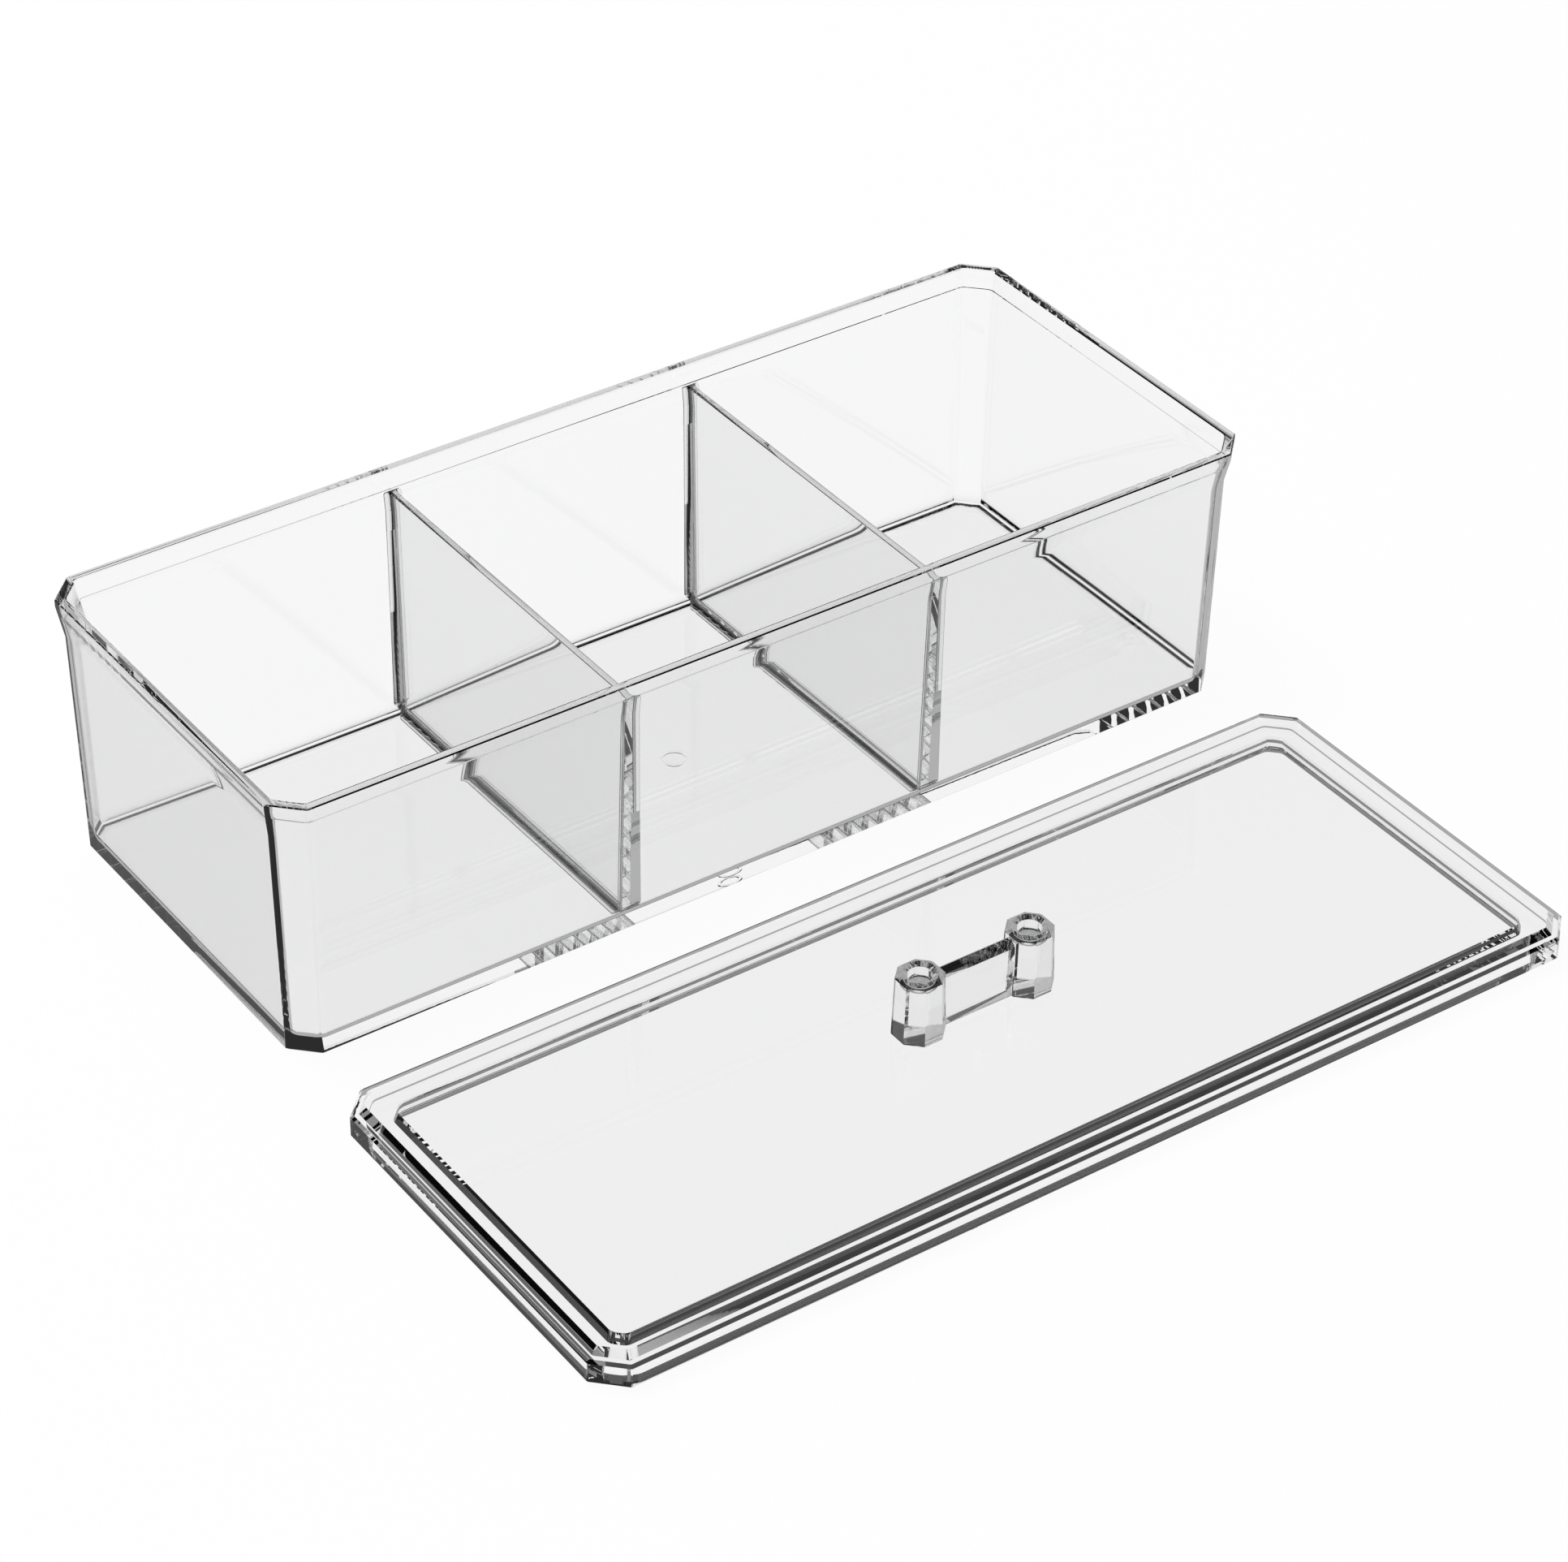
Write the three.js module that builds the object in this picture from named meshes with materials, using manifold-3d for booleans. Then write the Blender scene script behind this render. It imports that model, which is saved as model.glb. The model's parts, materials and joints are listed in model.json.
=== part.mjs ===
// Clear moulded tea bag organizer: a three-compartment tray and its lift-off lid.
// Millimetres. X runs along the tray, Y from front to back, Z up from the underside of the tray.

import * as THREE from 'three';
import { mergeVertices } from 'three/addons/utils/BufferGeometryUtils.js';
import Module from 'manifold-3d';

const wasm = await Module();
wasm.setup();

// Tray, outside
const RIM_LENGTH = 230.0;
const RIM_WIDTH = 93.2;
const TRAY_HEIGHT = 60.4;
const RIM_CUT = 5.85;          // cut across each corner of the rim, measured along a side
const RIM_BAND = 1.6;          // upright band at the top of the rim
const FLARE_DROP = 8.5;        // height over which the walls flare out to the rim
const FLARE = 1.1;             // how far the rim stands out from the wall below it
const WALL_DRAFT = 1.1;        // how much each wall leans in between the flare and the underside
const FOOT_ROUND = 0.6;        // broken edge round the underside
const EDGE_BREAK = 0.25;       // broken edge round the rim
const CORNER_ROUND = 0.7;      // radius on the upright edges outside

// Tray, inside
const WALL = 2.4;
const FLOOR = 2.4;
const FLOOR_FILLET = 2.2;      // radius where the walls meet the floor
const INNER_ROUND = 2.2;       // radius on the upright edges inside
const SEAT_DEPTH = 4.2;        // depth of the narrow step inside the rim
const RIM_LAND = 2.1;          // thickness of the wall above the step

// Dividers
const DIVIDER_SPACING = 73.1;  // between the middles of the two dividers
const DIVIDER_DROP = 4.4;      // from the rim down to the top of the dividers
const DIVIDER_TOP = 1.5;
const DIVIDER_FOOT = 3.0;
const DIVIDER_ROUND = 0.5;     // rounding along the top of a divider
const DIVIDER_FLARE = 1.3;     // radius by which a divider widens to the walls and the floor
const BOND_GAP = 0.2;          // bond line between a bonded piece and what carries it

// Lid
const LID_INSET = 0.2;         // from the rim's edge to the lid's edge
const LID_BORDER = 5.1;        // thickness of the lid's border
const LID_TOP_BREAK = 0.6;     // bevel round the top of the border
const LID_FOOT_BREAK = 0.2;    // bevel round the underside of the border
const LIP_DROP = 1.0;          // how far the lip reaches below the border
const LIP_CLEARANCE = 0.8;     // play of the lip inside the rim
const LIP_WIDTH = 4.4;         // width of the lip at its foot
const LIP_DRAFT = 0.7;         // how much the inside of the lip leans in up to the panel
const LIP_CUT = 2.4;           // corner cut inside the lip
const STEP_INSET = 1.6;        // from the lid's edge to the foot of the step up to the panel
const STEP_RUN = 1.05;         // how far the step slopes in
const STEP_RISE = 1.35;
const STEP_ROUND = 0.25;
const PANEL = 2.9;
const LID_GAP = 16.5;          // from the tray's rim to the lid that lies in front of it
const LID_SHIFT = -1.3;        // how far the lid lies to the left of the tray

// Handle
const POST_SPACING = 26.0;
const POST_HEIGHT = 14.0;
const POST_FOOT = 10.0;        // across flats at the foot
const POST_TOP = 9.2;          // across flats at the top
const POST_BEVEL = 1.0;        // bevel round the top of a post
const POST_HOLE = 5.0;
const POST_HOLE_BEVEL = 0.8;   // bevel round the mouth of the hole
const POST_HOLE_DEPTH = 3.0;
const POST_HOLE_ROUND = 0.8;   // radius at the bottom of the hole
const WEB_THICKNESS = 3.4;
const WEB_BEVEL = 1.6;         // bevel along both sides of the web's top
const WEB_DROP = 1.0;          // from the top of the posts down to the top of the web
const WEB_EDGE = 0.05;         // broken upright edges of the web, inside the posts

const ROUND_STEPS = 6;
const HOLE_STEPS = 24;
const OVERCUT = 1.0;           // how far a cutting form reaches past the face that it opens

const DIAGONAL = 2 - Math.SQRT2;   // change of a corner cut for one unit of parallel inset

// Outline of a rectangle with cut corners; each of its eight corners is rounded off when a radius is given.
function outline({ halfX, halfY, cut, round = 0 }) {
  const corners = [
    [halfX, -halfY + cut], [halfX, halfY - cut], [halfX - cut, halfY], [-halfX + cut, halfY],
    [-halfX, halfY - cut], [-halfX, -halfY + cut], [-halfX + cut, -halfY], [halfX - cut, -halfY],
  ].map(([x, y]) => new THREE.Vector2(x, y));
  if (round <= 0) {
    return corners;
  }
  const back = round * Math.tan(Math.PI / 8);
  return corners.flatMap((corner, i) => {
    const before = corners[(i + 7) % 8].clone().sub(corner).normalize();
    const after = corners[(i + 1) % 8].clone().sub(corner).normalize();
    const start = corner.clone().addScaledVector(before, back);
    const end = corner.clone().addScaledVector(after, back);
    const arc = new THREE.QuadraticBezierCurve(start, corner, end);
    return arc.getPoints(ROUND_STEPS);
  });
}

// The same outline, moved in by an equal distance all round.
function inset(ring, distance) {
  return {
    ...ring,
    halfX: ring.halfX - distance,
    halfY: ring.halfY - distance,
    cut: ring.cut - distance * DIAGONAL,
  };
}

// Angles of a quarter turn, from 0 to 90 degrees.
function quarterTurn() {
  return Array.from({ length: ROUND_STEPS + 1 }, (_, step) => (step / ROUND_STEPS) * Math.PI / 2);
}

// Closed body through a stack of level outlines with equal point counts, from the lowest to the highest.
function stack(levels) {
  const count = levels[0].points.length;
  const positions = levels.flatMap(({ points, z }) => points.flatMap((p) => [p.x, p.y, z]));
  const indices = [];
  for (let level = 0; level + 1 < levels.length; level += 1) {
    for (let i = 0; i < count; i += 1) {
      const a = level * count + i;
      const b = level * count + (i + 1) % count;
      indices.push(a, b, b + count, a, b + count, a + count);
    }
  }
  const top = (levels.length - 1) * count;
  for (const [a, b, c] of THREE.ShapeUtils.triangulateShape(levels[0].points, [])) {
    indices.push(a, c, b);
  }
  for (const [a, b, c] of THREE.ShapeUtils.triangulateShape(levels.at(-1).points, [])) {
    indices.push(top + a, top + b, top + c);
  }
  const geometry = new THREE.BufferGeometry();
  geometry.setAttribute('position', new THREE.Float32BufferAttribute(positions, 3));
  geometry.setIndex(indices);
  return solid(geometry);
}

function loft(rings) {
  return stack(rings.map((ring) => ({ points: outline(ring), z: ring.z })));
}

function solid(geometry) {
  const bare = geometry.clone();
  bare.deleteAttribute('normal');
  bare.deleteAttribute('uv');
  const merged = mergeVertices(bare, 1e-5);
  return new wasm.Manifold(new wasm.Mesh({
    numProp: 3,
    vertProperties: new Float32Array(merged.attributes.position.array),
    triVerts: new Uint32Array(merged.index.array),
  }));
}

// Outside of the tray
const FLARE_FOOT_Z = TRAY_HEIGHT - FLARE_DROP;
const rim = { halfX: RIM_LENGTH / 2, halfY: RIM_WIDTH / 2, cut: RIM_CUT, round: CORNER_ROUND };
const wallTop = { ...inset(rim, FLARE), cut: RIM_CUT };
const wallFoot = inset(wallTop, WALL_DRAFT);

const trayOutside = loft([
  { ...inset(wallFoot, FOOT_ROUND), z: 0 },
  { ...wallFoot, z: FOOT_ROUND },
  { ...wallTop, z: FLARE_FOOT_Z },
  { ...rim, z: TRAY_HEIGHT - RIM_BAND },
  { ...rim, z: TRAY_HEIGHT - EDGE_BREAK },
  { ...inset(rim, EDGE_BREAK), z: TRAY_HEIGHT },
]);

// Inner faces of the walls at a height: they follow the draft and the flare of the outside.
function innerWall(z, thickness = WALL) {
  const flared = FLARE * Math.min(1, (z - FLARE_FOOT_Z) / (FLARE_DROP - RIM_BAND));
  const outer = z < FLARE_FOOT_Z
    ? inset(wallTop, WALL_DRAFT * (1 - z / FLARE_FOOT_Z))
    : { ...inset(wallTop, -flared), cut: RIM_CUT };
  return { ...inset(outer, thickness), round: INNER_ROUND, z };
}

const SEAT_Z = TRAY_HEIGHT - SEAT_DEPTH;
const mouth = innerWall(TRAY_HEIGHT, RIM_LAND);

// Hollow of the tray, with the fillet round its floor; a margin shrinks it evenly.
function hollow(margin) {
  const fillet = quarterTurn().map((angle) => {
    const z = FLOOR + margin + FLOOR_FILLET * (1 - Math.cos(angle));
    return { ...inset(innerWall(z), margin + FLOOR_FILLET * (1 - Math.sin(angle))), z };
  });
  const upper = [
    innerWall(FLARE_FOOT_Z),
    innerWall(SEAT_Z),
    innerWall(SEAT_Z, RIM_LAND),
    innerWall(TRAY_HEIGHT - RIM_BAND, RIM_LAND),
    { ...mouth, z: TRAY_HEIGHT - EDGE_BREAK },
    inset(mouth, -EDGE_BREAK),
    { ...inset(mouth, -EDGE_BREAK), z: TRAY_HEIGHT + OVERCUT },
  ];
  return loft([...fillet, ...upper.map((ring) => inset(ring, margin))]);
}

const tray = trayOutside.subtract(hollow(0));

// Plan of a divider: a long slab that widens on a radius to each end.
function dividerPlan(halfX, halfY) {
  const flare = quarterTurn().map((angle) => new THREE.Vector2(
    halfX + DIVIDER_FLARE * (1 - Math.cos(angle)),
    halfY - DIVIDER_FLARE * (1 - Math.sin(angle)),
  ));
  const right = [...flare.map((p) => new THREE.Vector2(p.x, -p.y)).reverse(), ...flare];
  const left = right.map((p) => new THREE.Vector2(-p.x, p.y)).reverse();
  return [...right, ...left];
}

// Dividers: a tapered slab that widens to the walls and the floor, trimmed by the hollow that it stands in
function divider(x) {
  const topZ = TRAY_HEIGHT - DIVIDER_DROP;
  const footZ = FLOOR + BOND_GAP;
  const half = (z) => THREE.MathUtils.mapLinear(z, footZ, topZ, DIVIDER_FOOT, DIVIDER_TOP) / 2;
  const level = (z, widen) => ({ points: dividerPlan(half(z) + widen, innerWall(z).halfY - BOND_GAP), z });
  const foot = quarterTurn().map((angle) => level(
    footZ + DIVIDER_FLARE * (1 - Math.cos(angle)),
    DIVIDER_FLARE * (1 - Math.sin(angle)),
  ));
  const head = quarterTurn().map((angle) => level(
    topZ - DIVIDER_ROUND * (1 - Math.sin(angle)),
    -DIVIDER_ROUND * (1 - Math.cos(angle)),
  ));
  return stack([...foot, level(FLARE_FOOT_Z, 0), ...head]).translate([x, 0, 0]).intersect(hollow(BOND_GAP));
}

// Lid: a stepped plate with a border that rests on the rim and a lip that drops inside it
const LID_Y = -(RIM_WIDTH / 2 + LID_GAP + RIM_WIDTH / 2 - LID_INSET);
const lidEdge = inset(rim, LID_INSET);
const lip = inset(mouth, LIP_CLEARANCE);
const lipInside = { ...inset(lip, LIP_WIDTH), cut: LIP_CUT };
const borderTopZ = LIP_DROP + LID_BORDER;
const panelTopZ = borderTopZ + STEP_RISE;
const panelUnderZ = panelTopZ - PANEL;
const stepFoot = inset(lidEdge, STEP_INSET);
const stepTop = inset(stepFoot, STEP_RUN);

const lidHollow = loft([
  { ...lipInside, z: -OVERCUT },
  { ...lipInside, z: 0 },
  { ...inset(lipInside, LIP_DRAFT), z: panelUnderZ },
]);
const lid = loft([
  { ...lip, z: 0 },
  { ...lip, z: LIP_DROP },
  { ...inset(lidEdge, LID_FOOT_BREAK), z: LIP_DROP },
  { ...lidEdge, z: LIP_DROP + LID_FOOT_BREAK },
  { ...lidEdge, z: borderTopZ - LID_TOP_BREAK },
  { ...inset(lidEdge, LID_TOP_BREAK), z: borderTopZ },
  { ...stepFoot, z: borderTopZ },
  { ...stepTop, z: panelTopZ - STEP_ROUND },
  { ...inset(stepTop, STEP_ROUND), z: panelTopZ },
]).subtract(lidHollow).translate([LID_SHIFT, LID_Y, 0]);

// Handle: two eight-sided posts with blind holes, joined by a web
function octagon(acrossFlats, z) {
  const half = acrossFlats / 2;
  return { halfX: half, halfY: half, cut: half * DIAGONAL, z };
}

function post(x, footZ) {
  const topZ = footZ + POST_HEIGHT;
  const body = loft([
    octagon(POST_FOOT, footZ),
    octagon(POST_TOP, topZ - POST_BEVEL),
    octagon(POST_TOP - 2 * POST_BEVEL, topZ),
  ]);
  const radius = POST_HOLE / 2;
  const bottom = topZ - POST_HOLE_DEPTH;
  const profile = [
    new THREE.Vector2(0, bottom),
    ...quarterTurn().map((angle) => new THREE.Vector2(
      radius - POST_HOLE_ROUND * (1 - Math.sin(angle)),
      bottom + POST_HOLE_ROUND * (1 - Math.cos(angle)),
    )),
    new THREE.Vector2(radius, topZ - POST_HOLE_BEVEL),
    new THREE.Vector2(radius + POST_HOLE_BEVEL + OVERCUT, topZ + OVERCUT),
    new THREE.Vector2(0, topZ + OVERCUT),
  ];
  const hole = new THREE.LatheGeometry(profile, HOLE_STEPS).rotateX(Math.PI / 2);
  return body.subtract(solid(hole)).translate([x, 0, 0]);
}

function handleSolid() {
  const footZ = panelTopZ + BOND_GAP;
  const webTopZ = footZ + POST_HEIGHT - WEB_DROP;
  const webHalfX = POST_SPACING / 2 - POST_HOLE / 2 - POST_HOLE_BEVEL;
  const slice = (trim, z) => ({ halfX: webHalfX, halfY: WEB_THICKNESS / 2 - trim, cut: WEB_EDGE, z });
  const web = loft([
    slice(0, footZ),
    slice(0, webTopZ - WEB_BEVEL),
    slice(WEB_BEVEL, webTopZ),
  ]);
  return web
    .add(post(-POST_SPACING / 2, footZ))
    .add(post(POST_SPACING / 2, footZ))
    .translate([LID_SHIFT, LID_Y, 0]);
}

function part(name, body) {
  const { vertProperties, triVerts } = body.getMesh();
  const geometry = new THREE.BufferGeometry();
  geometry.setAttribute('position', new THREE.Float32BufferAttribute(vertProperties, 3));
  geometry.setIndex(Array.from(triVerts));
  const material = new THREE.MeshStandardMaterial({ color: 0xf1f5f6, roughness: 0.05, metalness: 0 });
  const mesh = new THREE.Mesh(geometry, material);
  mesh.name = name;
  return mesh;
}

const organizer = new THREE.Group();
organizer.name = 'tea_bag_organizer';
organizer.add(
  part('tray', tray),
  part('divider_left', divider(-DIVIDER_SPACING / 2)),
  part('divider_right', divider(DIVIDER_SPACING / 2)),
  part('lid', lid),
  part('handle', handleSolid()),
);

export default organizer;
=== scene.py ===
"""Looks of the tea bag organizer: clear plastic, a white table, soft light and the photograph's camera."""

import json
import math

import bmesh
import bpy
from mathutils import Matrix, Vector
from mathutils.bvhtree import BVHTree


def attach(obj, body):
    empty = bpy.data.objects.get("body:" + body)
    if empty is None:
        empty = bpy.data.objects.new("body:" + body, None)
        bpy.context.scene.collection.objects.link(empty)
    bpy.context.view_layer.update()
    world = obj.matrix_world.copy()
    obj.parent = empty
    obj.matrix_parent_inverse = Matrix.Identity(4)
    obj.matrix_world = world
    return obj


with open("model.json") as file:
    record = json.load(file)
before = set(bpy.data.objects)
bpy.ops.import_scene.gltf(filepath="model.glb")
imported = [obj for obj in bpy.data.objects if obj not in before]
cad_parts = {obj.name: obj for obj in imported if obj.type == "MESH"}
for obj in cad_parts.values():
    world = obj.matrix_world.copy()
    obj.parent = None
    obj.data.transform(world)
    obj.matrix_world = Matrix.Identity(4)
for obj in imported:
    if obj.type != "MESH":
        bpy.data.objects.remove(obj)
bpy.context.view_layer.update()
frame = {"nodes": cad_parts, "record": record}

# Camera, fitted to the straight edges in the photograph; lengths here and below are in metres
IMAGE_WIDTH = 1932              # pixels
FOCAL_PIXELS = 6096.86
SENSOR_WIDTH = 36.0             # millimetres
AZIMUTH = math.radians(35.2687)
ELEVATION = math.radians(36.124)
ROLL = math.radians(-0.6927)
EYE = Vector((-0.459952, -0.694328, 0.602132))

# Clear plastic
PLASTIC_INDEX = 1.55
PLASTIC_TINT = (0.992, 0.993, 0.994, 1.0)
WAVE_SCALE = 38.0               # slow waviness of the moulded faces, waves per metre
WAVE_DETAIL = 1.0
WAVE_HEIGHT = 0.000012
PEEL_SCALE = 700.0              # fine orange peel
PEEL_DETAIL = 2.0
PEEL_SHARE = 0.02               # of the waves' height
HAZE_SCALE = 55.0               # patches where the polish is a little duller
HAZE_DETAIL = 4.0
HAZE_LEVELS = (0.55, 0.8)
HAZE_ROUGHNESS = 0.012

# Ring that the moulding gate left on the tray's floor
GATE_SLOT = "clear_tray"
GATE_PLACE = (0.0008, -0.0019, 0.0)
GATE_RISE = (0.0019, 0.0023)    # the ring rises between these radii
GATE_FALL = (0.0026, 0.0030)    # and falls between these
GATE_TOP = 0.004                # the floor lies below this height
GATE_HEIGHT = 0.00005

# Rounded edges
SMOOTH_ANGLE = math.radians(32.0)
JOIN_DISTANCE = 0.000001
FLAT_FACE_WEIGHT = 100

# Bond lines, filled with clear cement that reaches a little into both pieces
BOND_LINE = 0.0002
BOND_REACH = 0.00026            # a face this near to the carrier
BOND_FACING = -0.9              # and turned towards it belongs to the bond
BOND_OVERLAP = 0.00005
BONDS = (("handle", "lid", "lid_body", "clear_lid"),
         ("divider_left", "tray", "tray_body", "clear_tray"),
         ("divider_right", "tray", "tray_body", "clear_tray"))

# White surroundings: dimmer from the first reflection on, brighter again for light led along inside a wall
FEW_REFLECTIONS = (0.0, 1.0)
MANY_REFLECTIONS = (3.0, 7.0)
TABLE_DIMMED = 0.45
TABLE_LED = 0.85
BACKDROP_DIMMED = 0.25
BACKDROP_LED = 1.0

# Table, room and lamp
FLOOR_SIZE = 8.0
FLOOR_DROP = 0.00002
FLOOR_PAINT = (0.9, 0.9, 0.9, 1.0)
SHADOW_SHARE = 0.04             # of the painted, shadowed table in what is seen
ROOM_GREY = 0.05
BACKDROP_SPREAD = (0.1, 0.4)    # soft sides of the backdrop, as the cosine of the angle from its middle
BACKDROP_TOP = (0.62, 0.72)     # its soft top, as the sine of the elevation
SOFT_BOX_PLACE = Vector((-0.4, 0.5, 1.6))
SOFT_BOX_SIZE = 1.2
SOFT_BOX_POWER = 30.0           # watts
LIGHT_BOUNCES = 32
GLOSSY_BOUNCES = 16


def make_camera():
    """The photograph's camera, from its place, viewing direction and roll."""
    forward = Vector((math.sin(AZIMUTH) * math.cos(ELEVATION),
                      math.cos(AZIMUTH) * math.cos(ELEVATION),
                      -math.sin(ELEVATION)))
    level = forward.cross(Vector((0, 0, 1))).normalized()
    below = forward.cross(level)
    right = math.cos(ROLL) * level + math.sin(ROLL) * below
    down = math.cos(ROLL) * below - math.sin(ROLL) * level
    data = bpy.data.cameras.new("photo_camera")
    data.sensor_width = SENSOR_WIDTH
    data.lens = SENSOR_WIDTH * FOCAL_PIXELS / IMAGE_WIDTH
    camera = bpy.data.objects.new("photo_camera", data)
    bpy.context.collection.objects.link(camera)
    turn = Matrix((right, -down, -forward)).transposed()
    camera.matrix_world = Matrix.Translation(EYE) @ turn.to_4x4()
    bpy.context.scene.camera = camera


def ramp(tree, value, limits, low, high):
    """A smooth step from low to high, while a value passes from one limit to the other."""
    node = tree.nodes.new("ShaderNodeMapRange")
    node.interpolation_type = "SMOOTHSTEP"
    node.inputs["From Min"].default_value = limits[0]
    node.inputs["From Max"].default_value = limits[1]
    node.inputs["To Min"].default_value = low
    node.inputs["To Max"].default_value = high
    tree.links.new(value, node.inputs["Value"])
    return node.outputs["Result"]


def combine(tree, operation, first, *others):
    """A socket to which other sockets and numbers are joined in turn, by one math operation."""
    for other in others:
        node = tree.nodes.new("ShaderNodeMath")
        node.operation = operation
        tree.links.new(first, node.inputs[0])
        if isinstance(other, float):
            node.inputs[1].default_value = other
        else:
            tree.links.new(other, node.inputs[1])
        first = node.outputs[0]
    return first


def measure(tree, operation, vector, fixed):
    """The distance or the dot product of a vector and a fixed one."""
    node = tree.nodes.new("ShaderNodeVectorMath")
    node.operation = operation
    node.inputs[1].default_value = fixed
    tree.links.new(vector, node.inputs[0])
    return node.outputs["Value"]


def axes_of(tree, vector):
    """The X, Y and Z of a vector."""
    node = tree.nodes.new("ShaderNodeSeparateXYZ")
    tree.links.new(vector, node.inputs[0])
    return node.outputs


def noise(tree, place, scale, detail):
    """Cloudy noise between 0 and 1."""
    node = tree.nodes.new("ShaderNodeTexNoise")
    node.inputs["Scale"].default_value = scale
    node.inputs["Detail"].default_value = detail
    tree.links.new(place, node.inputs["Vector"])
    return node.outputs["Fac"]


def gate_mark(tree, place):
    """Low ring in the middle of the tray's floor, in wave heights."""
    axes = axes_of(tree, place)
    flat = tree.nodes.new("ShaderNodeCombineXYZ")
    tree.links.new(axes["X"], flat.inputs["X"])
    tree.links.new(axes["Y"], flat.inputs["Y"])
    radius = measure(tree, "DISTANCE", flat.outputs[0], GATE_PLACE)
    rise = ramp(tree, radius, GATE_RISE, 0.0, 1.0)
    fall = ramp(tree, radius, GATE_FALL, 1.0, 0.0)
    on_floor = combine(tree, "LESS_THAN", axes["Z"], GATE_TOP)
    return combine(tree, "MULTIPLY", rise, fall, on_floor, GATE_HEIGHT / WAVE_HEIGHT)


def clear_plastic(name):
    """Clear moulded plastic: slow waves, fine orange peel and slightly duller patches."""
    material = bpy.data.materials.new(name)
    material.use_nodes = True
    tree = material.node_tree
    shader = tree.nodes["Principled BSDF"]
    shader.inputs["Base Color"].default_value = PLASTIC_TINT
    shader.inputs["IOR"].default_value = PLASTIC_INDEX
    shader.inputs["Transmission Weight"].default_value = 1.0
    place = tree.nodes.new("ShaderNodeTexCoord").outputs["Object"]
    patches = noise(tree, place, HAZE_SCALE, HAZE_DETAIL)
    tree.links.new(ramp(tree, patches, HAZE_LEVELS, 0.0, HAZE_ROUGHNESS), shader.inputs["Roughness"])
    peel = combine(tree, "MULTIPLY", noise(tree, place, PEEL_SCALE, PEEL_DETAIL), PEEL_SHARE)
    height = combine(tree, "ADD", noise(tree, place, WAVE_SCALE, WAVE_DETAIL), peel)
    if name == GATE_SLOT:
        height = combine(tree, "ADD", height, gate_mark(tree, place))
    bump = tree.nodes.new("ShaderNodeBump")
    bump.inputs["Distance"].default_value = WAVE_HEIGHT
    tree.links.new(height, bump.inputs["Height"])
    tree.links.new(bump.outputs["Normal"], shader.inputs["Normal"])
    return material


def smoothing():
    """Geometry nodes that join the triangles' corners, and shade all but the sharp edges smooth."""
    tree = bpy.data.node_groups.new("smooth_rounds", "GeometryNodeTree")
    tree.interface.new_socket("Geometry", in_out="INPUT", socket_type="NodeSocketGeometry")
    tree.interface.new_socket("Geometry", in_out="OUTPUT", socket_type="NodeSocketGeometry")
    start = tree.nodes.new("NodeGroupInput")
    end = tree.nodes.new("NodeGroupOutput")
    joined = tree.nodes.new("GeometryNodeMergeByDistance")
    joined.inputs["Distance"].default_value = JOIN_DISTANCE
    faces = tree.nodes.new("GeometryNodeSetShadeSmooth")
    faces.domain = "FACE"
    edges = tree.nodes.new("GeometryNodeSetShadeSmooth")
    edges.domain = "EDGE"
    edges.inputs["Shade Smooth"].default_value = False
    angle = tree.nodes.new("GeometryNodeInputMeshEdgeAngle")
    sharp = tree.nodes.new("FunctionNodeCompare")
    sharp.operation = "GREATER_THAN"
    sharp.inputs["B"].default_value = SMOOTH_ANGLE
    tree.links.new(angle.outputs["Unsigned Angle"], sharp.inputs["A"])
    tree.links.new(sharp.outputs["Result"], edges.inputs["Selection"])
    tree.links.new(start.outputs[0], joined.inputs["Geometry"])
    tree.links.new(joined.outputs["Geometry"], faces.inputs["Geometry"])
    tree.links.new(faces.outputs["Geometry"], edges.inputs["Geometry"])
    tree.links.new(edges.outputs["Geometry"], end.inputs[0])
    return tree


def dress(node, material, smooth_rounds):
    """Plastic and smooth rounds on a CAD node, whose mesh stays as it is."""
    node.data.materials.clear()
    node.data.materials.append(material)
    node.modifiers.new("smooth_rounds", "NODES").node_group = smooth_rounds
    weighted = node.modifiers.new("flat_faces_stay_flat", "WEIGHTED_NORMAL")
    weighted.weight = FLAT_FACE_WEIGHT
    weighted.keep_sharp = True


def bonded_faces(piece, carrier):
    """A piece's faces that lie along the bond line, as a mesh of their own."""
    surface = bmesh.new()
    surface.from_mesh(frame["nodes"][carrier].data)
    carrier_tree = BVHTree.FromBMesh(surface)
    surface.free()
    film = bmesh.new()
    film.from_mesh(frame["nodes"][piece].data)
    bmesh.ops.remove_doubles(film, verts=film.verts, dist=JOIN_DISTANCE)
    free_faces = []
    for face in film.faces:
        _, normal, _, gap = carrier_tree.find_nearest(face.calc_center_median())
        if gap > BOND_REACH or face.normal.dot(normal) > BOND_FACING:
            free_faces.append(face)
    bmesh.ops.delete(film, geom=free_faces, context="FACES")
    return film


def thicken(film):
    """Draws the faces' border in a little and makes them a closed film, from one piece into the other."""
    border = bmesh.ops.inset_region(film, faces=film.faces[:], thickness=BOND_OVERLAP,
                                    use_boundary=True, use_even_offset=True)["faces"]
    bmesh.ops.delete(film, geom=border, context="FACES")
    film.normal_update()
    outward = {tuple(v.co): v.normal.copy() for v in film.verts}
    grown = bmesh.ops.extrude_face_region(film, geom=film.faces[:])["geom"]
    far_side = {v for v in grown if isinstance(v, bmesh.types.BMVert)}
    for v in film.verts:
        reach = BOND_LINE + BOND_OVERLAP if v in far_side else -BOND_OVERLAP
        v.co += outward[tuple(v.co)] * reach
    bmesh.ops.recalc_face_normals(film, faces=film.faces)


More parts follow.
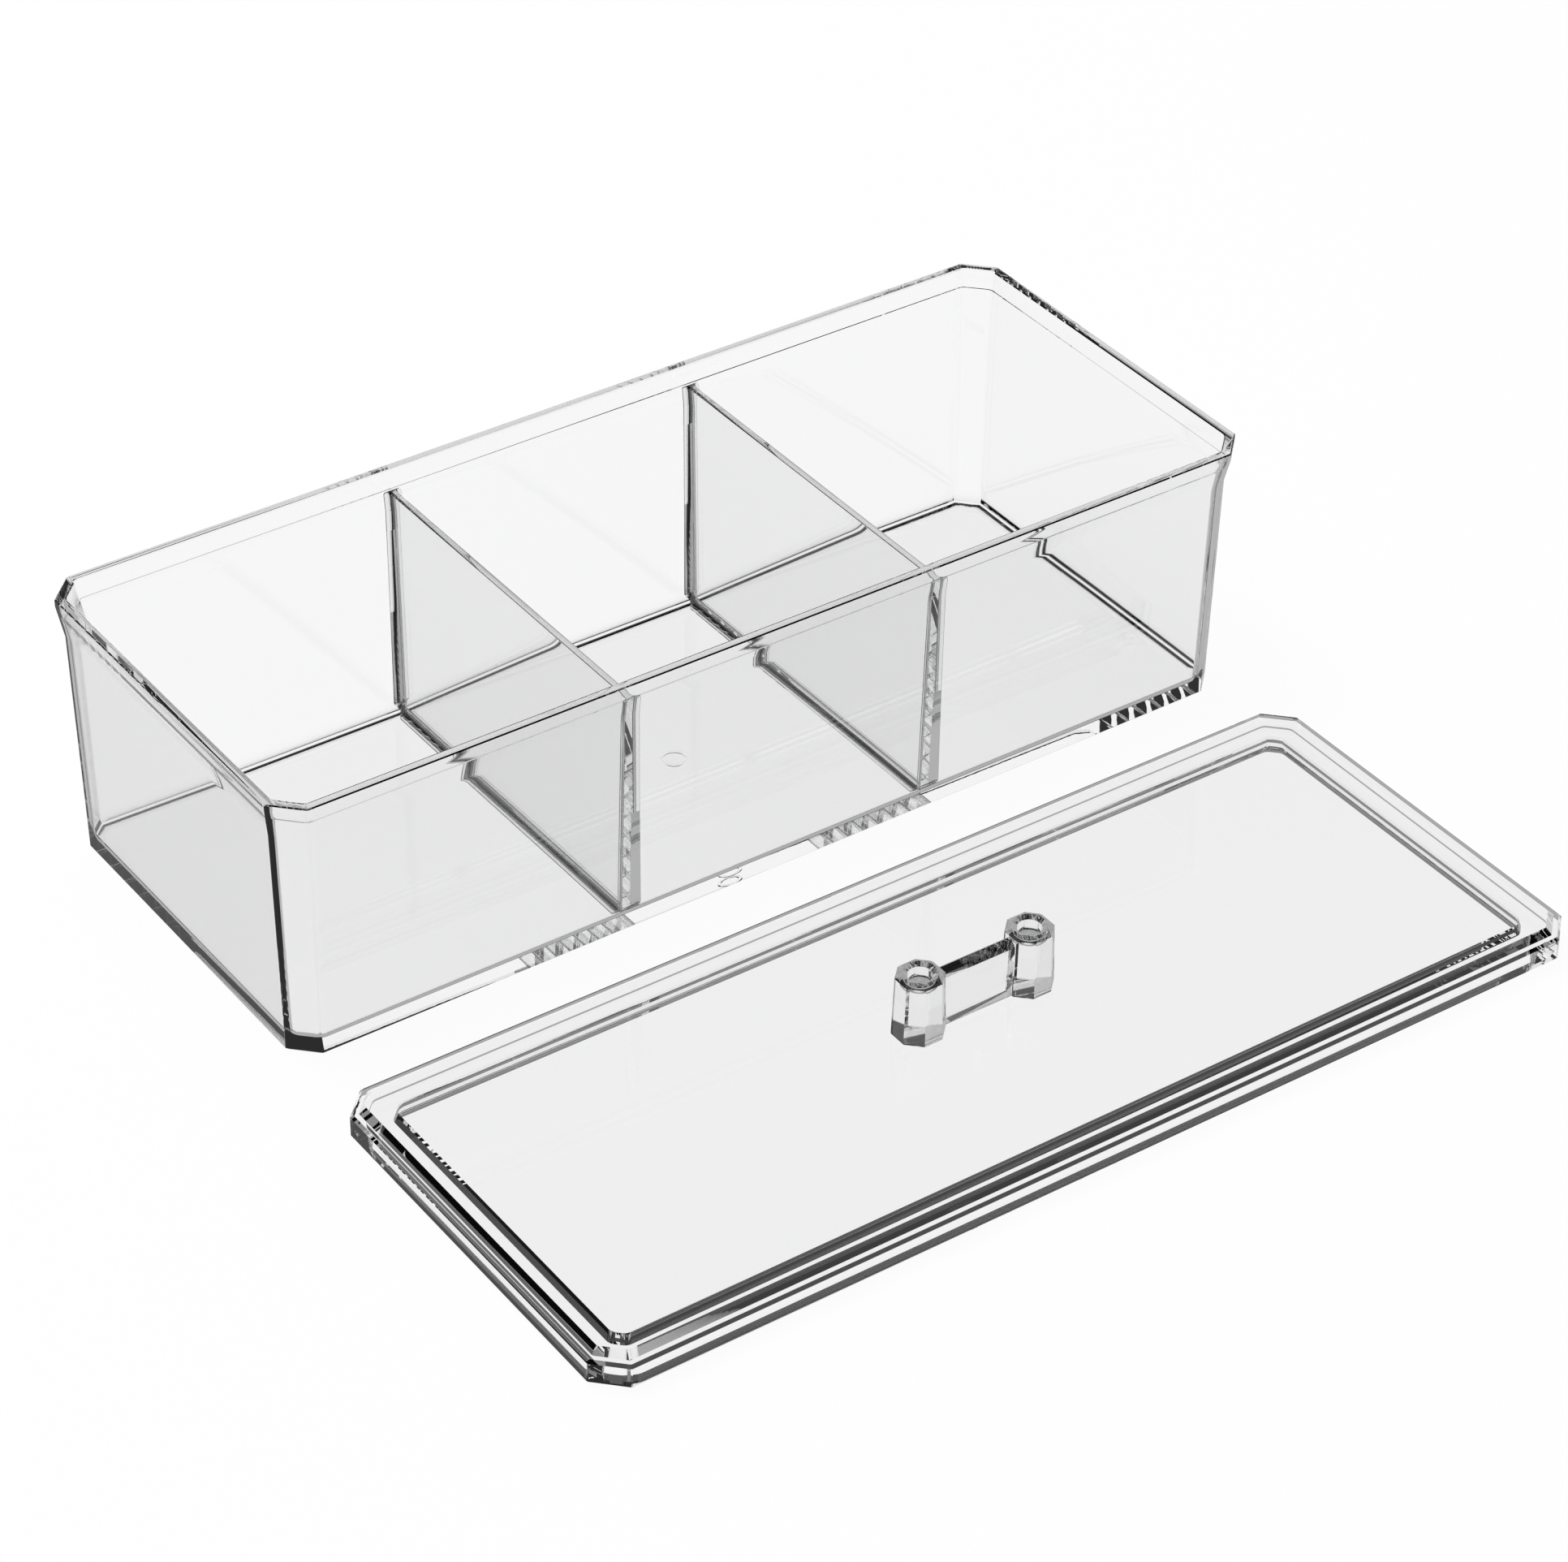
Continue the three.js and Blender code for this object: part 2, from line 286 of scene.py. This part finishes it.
def bond_film(piece, carrier, body, material):
    """Clear cement that fills the bond line between a piece and what carries it."""
    film = bonded_faces(piece, carrier)
    thicken(film)
    data = bpy.data.meshes.new(f"{piece}_bond")
    film.to_mesh(data)
    film.free()
    data.materials.append(material)
    bond = bpy.data.objects.new(f"{piece}_bond", data)
    bpy.context.collection.objects.link(bond)
    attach(bond, body)


def white_by_reflections(tree, path, dimmed, led):
    """Brightness of the white surroundings after the number of reflections that a ray has had."""
    count = path.outputs["Glossy Depth"]
    few = ramp(tree, count, FEW_REFLECTIONS, 1.0, dimmed)
    many = ramp(tree, count, MANY_REFLECTIONS, 0.0, led)
    return combine(tree, "MAXIMUM", few, many)


def white_table():
    """White that shows as it is and through the plastic, with a faint shadow."""
    material = bpy.data.materials.new("white_table")
    material.use_nodes = True
    tree = material.node_tree
    tree.nodes.clear()
    out = tree.nodes.new("ShaderNodeOutputMaterial")
    glow = tree.nodes.new("ShaderNodeEmission")
    paint = tree.nodes.new("ShaderNodeBsdfDiffuse")
    paint.inputs["Color"].default_value = FLOOR_PAINT
    path = tree.nodes.new("ShaderNodeLightPath")
    tree.links.new(white_by_reflections(tree, path, TABLE_DIMMED, TABLE_LED), glow.inputs["Strength"])
    seen = combine(tree, "MAXIMUM", path.outputs["Is Camera Ray"], path.outputs["Is Glossy Ray"],
                   path.outputs["Is Transmission Ray"])
    mix = tree.nodes.new("ShaderNodeMixShader")
    tree.links.new(combine(tree, "MULTIPLY", seen, 1 - SHADOW_SHARE), mix.inputs[0])
    tree.links.new(paint.outputs[0], mix.inputs[1])
    tree.links.new(glow.outputs[0], mix.inputs[2])
    tree.links.new(mix.outputs[0], out.inputs[0])
    return material


def make_floor():
    """A large white table, just under the object."""
    bpy.ops.mesh.primitive_plane_add(size=FLOOR_SIZE, location=(0, 0, -FLOOR_DROP))
    floor = bpy.context.object
    floor.name = "floor"
    floor.data.materials.append(white_table())


def make_room():
    """A dim room with a white backdrop behind the object."""
    world = bpy.data.worlds.new("room")
    bpy.context.scene.world = world
    world.use_nodes = True
    tree = world.node_tree
    direction = tree.nodes.new("ShaderNodeTexCoord").outputs["Generated"]
    ahead = measure(tree, "DOT_PRODUCT", direction, (math.sin(AZIMUTH), math.cos(AZIMUTH), 0))
    behind = ramp(tree, ahead, BACKDROP_SPREAD, 0.0, 1.0)
    low = ramp(tree, axes_of(tree, direction)["Z"], BACKDROP_TOP, 1.0, 0.0)
    path = tree.nodes.new("ShaderNodeLightPath")
    white = white_by_reflections(tree, path, BACKDROP_DIMMED, BACKDROP_LED)
    backdrop = combine(tree, "MULTIPLY", behind, low, white)
    room = combine(tree, "MAXIMUM", backdrop, ROOM_GREY, path.outputs["Is Camera Ray"])
    tree.links.new(room, tree.nodes["Background"].inputs["Color"])


def make_soft_box():
    """One large lamp that the plastic doesn't mirror."""
    data = bpy.data.lights.new("soft_box", "AREA")
    data.size = SOFT_BOX_SIZE
    data.energy = SOFT_BOX_POWER
    box = bpy.data.objects.new("soft_box", data)
    bpy.context.collection.objects.link(box)
    box.location = SOFT_BOX_PLACE
    box.rotation_euler = (-SOFT_BOX_PLACE).to_track_quat("-Z", "Y").to_euler()
    box.visible_glossy = False
    box.visible_transmission = False


make_camera()
rounds = smoothing()
plastics = {slot: clear_plastic(slot) for slot in ("clear_tray", "clear_lid")}
for part in frame["record"]["subparts"]:
    dress(frame["nodes"][part["node"]], plastics[part["material_slot"]], rounds)
for piece, carrier, body, slot in BONDS:
    bond_film(piece, carrier, body, plastics[slot])
make_floor()
make_room()
make_soft_box()

scene = bpy.context.scene
scene.view_settings.view_transform = "Standard"
scene.cycles.max_bounces = LIGHT_BOUNCES
scene.cycles.transmission_bounces = LIGHT_BOUNCES
scene.cycles.glossy_bounces = GLOSSY_BOUNCES
